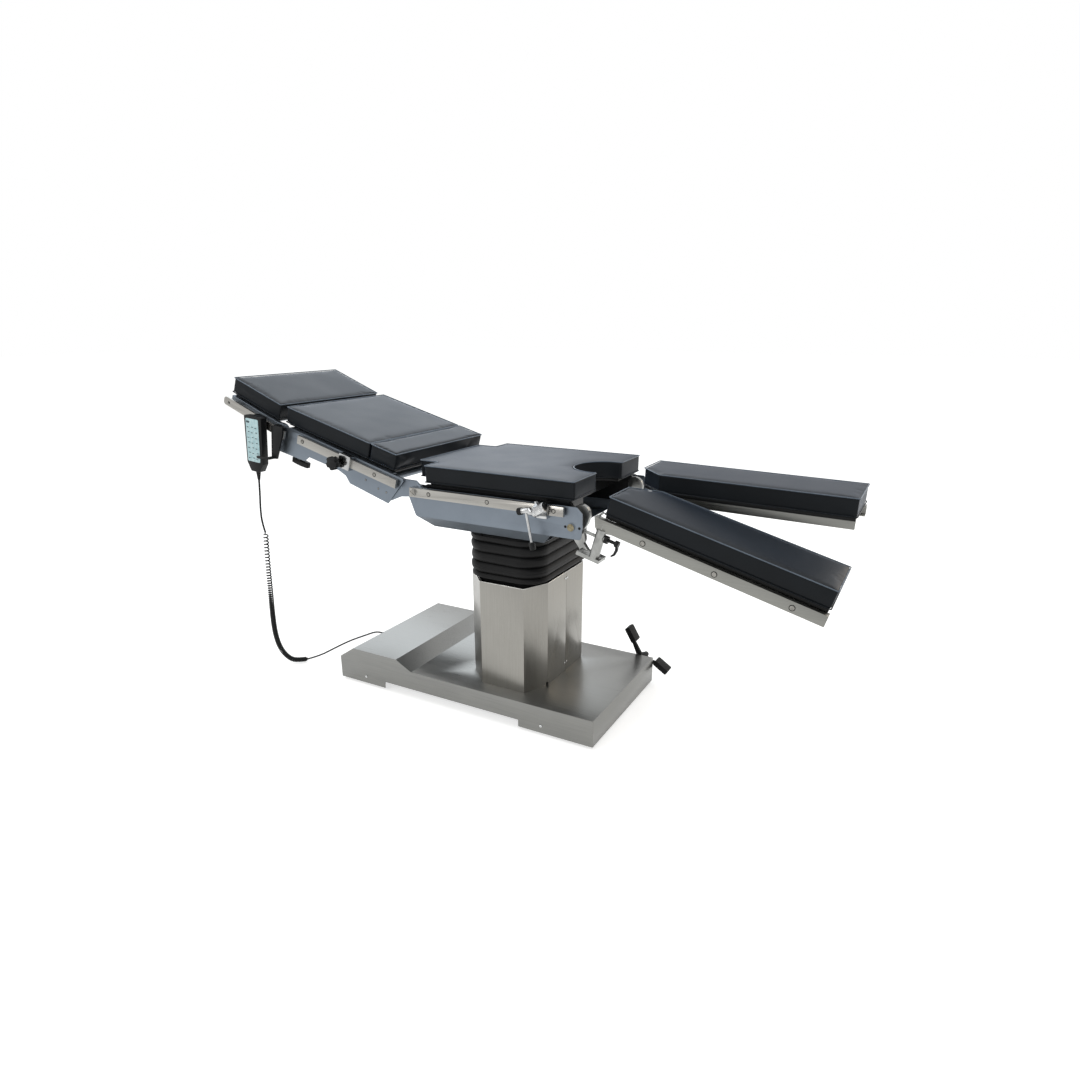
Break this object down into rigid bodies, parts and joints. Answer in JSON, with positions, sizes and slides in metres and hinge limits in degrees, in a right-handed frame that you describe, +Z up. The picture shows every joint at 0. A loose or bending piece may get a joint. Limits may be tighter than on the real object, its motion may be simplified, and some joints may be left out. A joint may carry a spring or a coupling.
{
  "type": "operating table",
  "caption": "Electro-hydraulic operating table with a tilting, height-adjusting column, hinged back, head and leg sections, side rails, foot pedal and a corded handset.",
  "frame": {"origin": "on the floor under the centre of the base", "axes": "+X towards the foot end, +Y away from the side with the handset, +Z up"},
  "size_m": [2.165, 0.6635, 1.1098],
  "materials": {
    "stainless": "brushed",
    "steel_plate": "satin",
    "zinc_steel": "satin",
    "rail_steel": "brushed",
    "cast_alloy": "satin",
    "bright_steel": "polished",
    "pad_cover": "satin",
    "pad_board": "matte",
    "bellows_rubber": "matte",
    "foot_rubber": "matte",
    "black_plastic": "matte",
    "lever_chrome": "polished",
    "tank_paint": "gloss",
    "handset_case": "satin",
    "cord_jacket": "matte"
  },
  "bodies": {
    "base": {"base_cover": "stainless", "base_chassis": "zinc_steel", "base_feet": "foot_rubber", "power_unit": "tank_paint", "lift_cylinder": "tank_paint", "column_guide": "zinc_steel", "column_cover_near": "stainless", "column_cover_far": "stainless", "cord_gland": "foot_rubber", "cord_lead": "cord_jacket", "bellows": "bellows_rubber"},
    "pedal": {"brake_pedal": "black_plastic"},
    "caster_frame": {"caster_frame": "zinc_steel"},
    "lift": {"inner_column": "zinc_steel", "lift_ram": "bright_steel"},
    "cross": {"tilt_cross": "cast_alloy"},
    "seat": {"tilt_hanger": "zinc_steel", "seat_trough": "steel_plate", "seat_frame": "zinc_steel", "seat_panel": "pad_board", "seat_pad": "pad_cover", "seat_rails": "rail_steel", "hinge_pins": "bright_steel", "seat_clamp": "bright_steel"},
    "seat_clamp_handle": {"seat_clamp_handle": "lever_chrome"},
    "back": {"back_frame": "steel_plate", "back_panel": "pad_board", "back_pad": "pad_cover", "lumbar_pad": "pad_cover", "back_rails": "rail_steel", "back_clamp": "bright_steel"},
    "back_clamp_knob": {"back_clamp_knob": "black_plastic"},
    "head_knob_near": {"head_knob_near": "black_plastic"},
    "head_knob_far": {"head_knob_far": "black_plastic"},
    "head": {"head_frame": "zinc_steel", "head_panel": "pad_board", "head_pad": "pad_cover", "head_rails": "rail_steel", "handset_holder": "black_plastic"},
    "handset": {"handset": "handset_case", "cord_tail": "cord_jacket", "cord_coil": "cord_jacket"},
    "leg_arm_near": {"leg_arm_near": "cast_alloy"},
    "leg_near": {"leg_frame_near": "stainless", "leg_panel_near": "pad_board", "leg_pad_near": "pad_cover"},
    "leg_lock_near": {"leg_lock_near": "black_plastic"},
    "leg_arm_far": {"leg_arm_far": "cast_alloy"},
    "leg_far": {"leg_frame_far": "stainless", "leg_panel_far": "pad_board", "leg_pad_far": "pad_cover"},
    "leg_lock_far": {"leg_lock_far": "black_plastic"},
    "caster_1": {"caster_fork_1": "cast_alloy"},
    "wheel_1": {"caster_wheel_1": "foot_rubber"},
    "caster_2": {"caster_fork_2": "cast_alloy"},
    "wheel_2": {"caster_wheel_2": "foot_rubber"},
    "caster_3": {"caster_fork_3": "cast_alloy"},
    "wheel_3": {"caster_wheel_3": "foot_rubber"},
    "caster_4": {"caster_fork_4": "cast_alloy"},
    "wheel_4": {"caster_wheel_4": "foot_rubber"}
  },
  "joints": [
    {"name": "column_lift", "type": "slide", "parent": "base", "child": "lift", "axis": [0, 0, 1], "range_m": [-0.08, 0.18], "deforming": ["bellows", "cord_coil", "cord_lead", "cord_tail"]},
    {"name": "trendelenburg_tilt", "type": "hinge", "parent": "lift", "child": "cross", "pos_m": [0.16, 0, 0.6], "axis": [0, -1, 0], "range_deg": [-22, 22]},
    {"name": "lateral_tilt", "type": "hinge", "parent": "cross", "child": "seat", "pos_m": [0.16, 0, 0.6], "axis": [1, 0, 0], "range_deg": [-15, 15]},
    {"name": "back_raise", "type": "hinge", "parent": "seat", "child": "back", "pos_m": [-0.123, 0, 0.776], "axis": [0, 1, 0], "range_deg": [-35, 55]},
    {"name": "head_tilt", "type": "hinge", "parent": "back", "child": "head", "pos_m": [-0.71331, 0, 0.93749], "axis": [0, 1, 0], "range_deg": [-70, 16]},
    {"name": "leg_pitch_near", "type": "hinge", "parent": "seat", "child": "leg_arm_near", "pos_m": [0.442, 0, 0.728], "axis": [0, 1, 0], "range_deg": [-30, 55]},
    {"name": "leg_swing_near", "type": "hinge", "parent": "leg_arm_near", "child": "leg_near", "pos_m": [0.52881, -0.255, 0.70425], "axis": [-0.2639, 0, -0.9646], "range_deg": [0, 60]},
    {"name": "leg_lock_turn_near", "type": "hinge", "parent": "leg_near", "child": "leg_lock_near", "pos_m": [0.54337, -0.255, 0.70442], "axis": [0.9646, 0, -0.2639], "range_deg": [-80, 80]},
    {"name": "leg_pitch_far", "type": "hinge", "parent": "seat", "child": "leg_arm_far", "pos_m": [0.442, 0, 0.728], "axis": [0, 1, 0], "range_deg": [-15, 70]},
    {"name": "leg_swing_far", "type": "hinge", "parent": "leg_arm_far", "child": "leg_far", "pos_m": [0.53198, 0.255, 0.72627], "axis": [0.0192, 0, 0.9998], "range_deg": [0, 60]},
    {"name": "leg_lock_turn_far", "type": "hinge", "parent": "leg_far", "child": "leg_lock_far", "pos_m": [0.54606, 0.255, 0.73], "axis": [0.9998, 0, -0.0192], "range_deg": [-80, 80]},
    {"name": "caster_lower", "type": "slide", "parent": "base", "child": "caster_frame", "axis": [0, 0, -1], "range_m": [0, 0.012]},
    {"name": "pedal_rock", "type": "hinge", "parent": "base", "child": "pedal", "pos_m": [0.48, 0, 0.084], "axis": [0, -1, 0], "range_deg": [0, 20]},
    {"name": "caster_swivel_1", "type": "hinge", "parent": "caster_frame", "child": "caster_1", "pos_m": [-0.47, -0.215, 0], "axis": [0, 0, 1], "continuous": true},
    {"name": "caster_roll_1", "type": "hinge", "parent": "caster_1", "child": "wheel_1", "pos_m": [-0.482, -0.215, 0.022], "axis": [0, 1, 0], "continuous": true},
    {"name": "caster_swivel_2", "type": "hinge", "parent": "caster_frame", "child": "caster_2", "pos_m": [0.47, -0.215, 0], "axis": [0, 0, 1], "continuous": true},
    {"name": "caster_roll_2", "type": "hinge", "parent": "caster_2", "child": "wheel_2", "pos_m": [0.458, -0.215, 0.022], "axis": [0, 1, 0], "continuous": true},
    {"name": "caster_swivel_3", "type": "hinge", "parent": "caster_frame", "child": "caster_3", "pos_m": [-0.47, 0.215, 0], "axis": [0, 0, 1], "continuous": true},
    {"name": "caster_roll_3", "type": "hinge", "parent": "caster_3", "child": "wheel_3", "pos_m": [-0.482, 0.215, 0.022], "axis": [0, 1, 0], "continuous": true},
    {"name": "caster_swivel_4", "type": "hinge", "parent": "caster_frame", "child": "caster_4", "pos_m": [0.47, 0.215, 0], "axis": [0, 0, 1], "continuous": true},
    {"name": "caster_roll_4", "type": "hinge", "parent": "caster_4", "child": "wheel_4", "pos_m": [0.458, 0.215, 0.022], "axis": [0, 1, 0], "continuous": true},
    {"name": "clamp_handle_turn", "type": "hinge", "parent": "seat", "child": "seat_clamp_handle", "pos_m": [0.316, -0.316, 0.774], "axis": [-0.9781, 0, -0.2079], "range_deg": [-10, 120]},
    {"name": "back_knob_turn", "type": "hinge", "parent": "back", "child": "back_clamp_knob", "pos_m": [-0.4329, -0.304, 0.84834], "axis": [0, 1, 0], "continuous": true},
    {"name": "head_knob_turn_near", "type": "hinge", "parent": "back", "child": "head_knob_near", "pos_m": [-0.63229, -0.24, 0.91533], "axis": [0.2639, 0, 0.9646], "range_deg": [-90, 90]},
    {"name": "head_knob_turn_far", "type": "hinge", "parent": "back", "child": "head_knob_far", "pos_m": [-0.63229, 0.24, 0.91533], "axis": [0.2639, 0, 0.9646], "range_deg": [-90, 90]},
    {"name": "handset_lift", "type": "slide", "parent": "head", "child": "handset", "axis": [0, 0, 1], "range_m": [0, 0.04]}
  ],
  "couplings": [
    {"joint": "pedal_rock", "follows": "caster_lower", "rad_per_m": 29.08}
  ]
}
